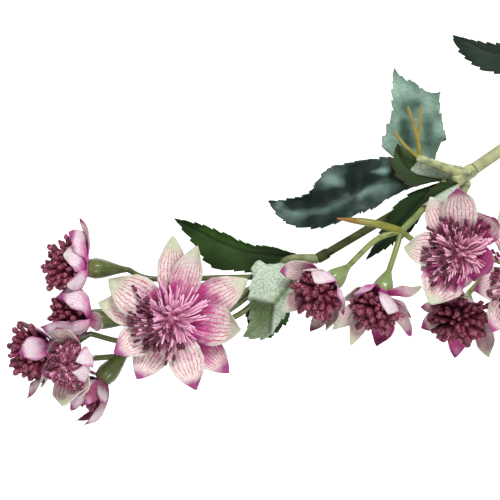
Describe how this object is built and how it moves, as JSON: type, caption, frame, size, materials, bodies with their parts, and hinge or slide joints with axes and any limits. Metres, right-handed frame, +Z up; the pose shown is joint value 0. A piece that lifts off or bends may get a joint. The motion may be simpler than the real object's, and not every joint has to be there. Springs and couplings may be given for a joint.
{
  "type": "masterwort",
  "caption": "Artificial masterwort spray, cut and lying on its side: a leafy stem with clusters of star-shaped cream and pink blooms.",
  "frame": {"origin": "middle of the spray's footprint on the surface it lies on", "axes": "+X along the spray from its blooms towards the cut end of the stem, +Y across it, +Z up"},
  "size_m": [0.2477, 0.1496, 0.0505],
  "materials": {
    "stem": "satin",
    "side_stem": "matte",
    "cup": "gloss",
    "dark_leaf": "waxed cloth",
    "blue_leaf": "glossy coated cloth",
    "pale_leaf": "matte cloth",
    "petal": "matte printed cloth",
    "floret": "satin"
  },
  "bodies": {
    "root": {"main_stem": "stem", "upper_joint": "stem", "side_stem": "side_stem", "left_umbel": "cup", "right_umbel": "cup", "lower_umbel": "cup", "blue_leaf": "blue_leaf", "pale_leaf": "pale_leaf", "small_dark_leaf": "dark_leaf", "lower_dark_leaf": "dark_leaf", "folded_leaf": "dark_leaf", "long_green_leaf": "dark_leaf", "pale_folded_leaf": "pale_leaf", "hidden_leaf": "dark_leaf", "stem_leaf": "dark_leaf", "large_left_petals": "petal", "large_left_florets": "floret", "upper_left_petals": "petal", "upper_left_florets": "floret", "middle_left_petals": "petal", "middle_left_florets": "floret", "outer_left_petals": "petal", "outer_left_florets": "floret", "inner_left_petals": "petal", "inner_left_florets": "floret", "lower_left_petals": "petal", "lower_left_florets": "floret", "small_centre_petals": "petal", "small_centre_florets": "floret", "small_right_petals": "petal", "small_right_florets": "floret", "large_right_petals": "petal", "large_right_florets": "floret", "lower_right_petals": "petal", "lower_right_florets": "floret", "far_right_petals": "petal", "far_right_florets": "floret"}
  },
  "joints": []
}
